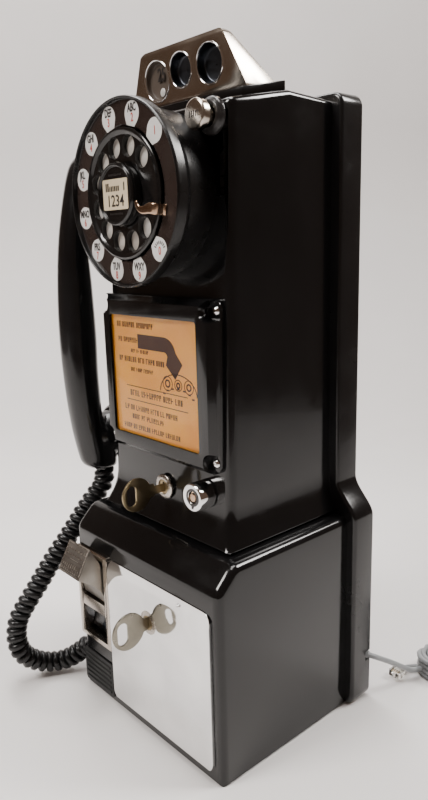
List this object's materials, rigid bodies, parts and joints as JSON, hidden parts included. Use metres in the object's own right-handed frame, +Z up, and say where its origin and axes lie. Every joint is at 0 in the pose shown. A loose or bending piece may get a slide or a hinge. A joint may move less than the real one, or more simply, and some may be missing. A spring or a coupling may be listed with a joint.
{
  "type": "payphone",
  "caption": "Coin payphone with a flared upper housing on a coin vault, coin gauge on top, rotary dial, instruction card, side-hung handset on a curly cord and a backboard.",
  "frame": {"origin": "on the table, under the middle of the lower housing's underside", "axes": "+X to the object's right seen from the front, +Y to the back, +Z up"},
  "size_m": [0.2742, 0.3044, 0.455],
  "materials": {
    "black_paint": "gloss",
    "board_paint": "painted gloss",
    "nickel": "satin",
    "chrome": "polished",
    "steel": "zinc plated",
    "brass": "satin",
    "copper_stop": "polished",
    "dial_plastic": "gloss",
    "ring_enamel": "enamel",
    "cream": "matte",
    "card": "printed card",
    "clear": "clear",
    "handset_plastic": "gloss",
    "black_rubber": "semi-matte",
    "grey_cord": "satin vinyl",
    "clear_plug": "clear",
    "coil_wire": "varnished copper",
    "board_green": "moulded"
  },
  "bodies": {
    "casing": {"backboard": "board_paint", "lower_housing": "black_paint", "upper_housing": "black_paint", "gauge_plate": "black_paint", "coin_gauge": "nickel", "coin_chutes": "black_paint", "coin_hopper": "steel", "coin_relay": "board_green", "dial_bezel": "dial_plastic", "number_ring": "ring_enamel", "dial_plate": "cream", "finger_stop": "copper_stop", "dial_mechanism": "steel", "card_frame": "black_paint", "instruction_card": "card", "card_window": "clear", "frame_screws": "steel", "upper_lock_body": "nickel", "tube_lock_body": "chrome", "button_collar": "black_paint", "return_frame": "chrome", "kick_panel": "black_paint", "return_chute": "steel", "chassis_plate": "steel", "ringer_coil": "coil_wire", "ringer_gongs": "brass", "network_block": "board_green", "hook_bracket": "steel", "hook_pin": "steel", "cord_gland": "black_rubber", "line_bushing": "grey_cord", "housing_screws": "steel", "lever_pin": "steel", "handset_cord": "black_rubber", "line_cord": "grey_cord", "cord_hank": "grey_cord", "line_plug": "clear_plug"},
    "finger_wheel": {"finger_wheel": "dial_plastic", "card_holder": "dial_plastic", "number_card": "cream", "dial_shaft": "steel"},
    "handset": {"handset_handle": "handset_plastic", "ear_cap": "handset_plastic", "mouth_cap": "handset_plastic", "handset_capsules": "steel", "handset_grommet": "black_rubber"},
    "hook": {"hook_lever": "nickel"},
    "button": {"push_button": "nickel"},
    "coin_return_lever": {"return_lever": "nickel"},
    "coin_flap": {"return_flap": "steel"},
    "door": {"vault_door": "chrome", "door_lock": "nickel"},
    "door_key_set": {"door_plug": "brass", "door_key": "nickel"},
    "upper_key_set": {"upper_plug": "brass", "upper_key": "brass"},
    "tube_lock_set": {"tube_plug": "copper_stop"},
    "coin_box": {"cash_box": "steel"}
  },
  "joints": [
    {"name": "dial_turn", "type": "hinge", "parent": "casing", "child": "finger_wheel", "pos_m": [0, -0.0586, 0.3635], "axis": [0, 1, 0], "range_deg": [0, 330], "stiffness_Nm_per_rad": 0.004, "springref_deg": -57.3},
    {"name": "handset_lift", "type": "slide", "parent": "casing", "child": "handset", "axis": [0, 0, 1], "range_m": [0, 0.06]},
    {"name": "hook_swing", "type": "hinge", "parent": "casing", "child": "hook", "pos_m": [-0.038, -0.004, 0.344], "axis": [0, 1, 0], "range_deg": [0, 8]},
    {"name": "button_press", "type": "slide", "parent": "casing", "child": "button", "axis": [0, 1, 0], "range_m": [0, 0.004], "stiffness_N_per_m": 400, "springref_m": -0.001},
    {"name": "coin_return_pull", "type": "hinge", "parent": "casing", "child": "coin_return_lever", "pos_m": [0, -0.057, 0.084], "axis": [1, 0, 0], "range_deg": [0, 22], "stiffness_Nm_per_rad": 0.15, "springref_deg": -17.19},
    {"name": "coin_flap_swing", "type": "hinge", "parent": "casing", "child": "coin_flap", "pos_m": [0, -0.055, 0.074], "axis": [1, 0, 0], "range_deg": [0, 60]},
    {"name": "door_pull", "type": "slide", "parent": "casing", "child": "door", "axis": [0, -1, 0], "range_m": [0, 0.15]},
    {"name": "coin_box_pull", "type": "slide", "parent": "casing", "child": "coin_box", "axis": [0, -1, 0], "range_m": [0, 0.1]},
    {"name": "door_key_turn", "type": "hinge", "parent": "door", "child": "door_key_set", "pos_m": [0.0116, -0.0628, 0.088], "axis": [0, 1, 0], "range_deg": [0, 90]},
    {"name": "upper_key_turn", "type": "hinge", "parent": "casing", "child": "upper_key_set", "pos_m": [-0.001, -0.0326, 0.1735], "axis": [0, 1, 0], "range_deg": [0, 90]},
    {"name": "tube_lock_turn", "type": "hinge", "parent": "casing", "child": "tube_lock_set", "pos_m": [0.041, -0.0324, 0.179], "axis": [0, 1, 0], "range_deg": [0, 90]}
  ],
  "couplings": [
    {"joint": "hook_swing", "follows": "handset_lift", "rad_per_m": 2.2},
    {"joint": "door_pull", "follows": "coin_box_pull", "ratio": 1.4}
  ]
}
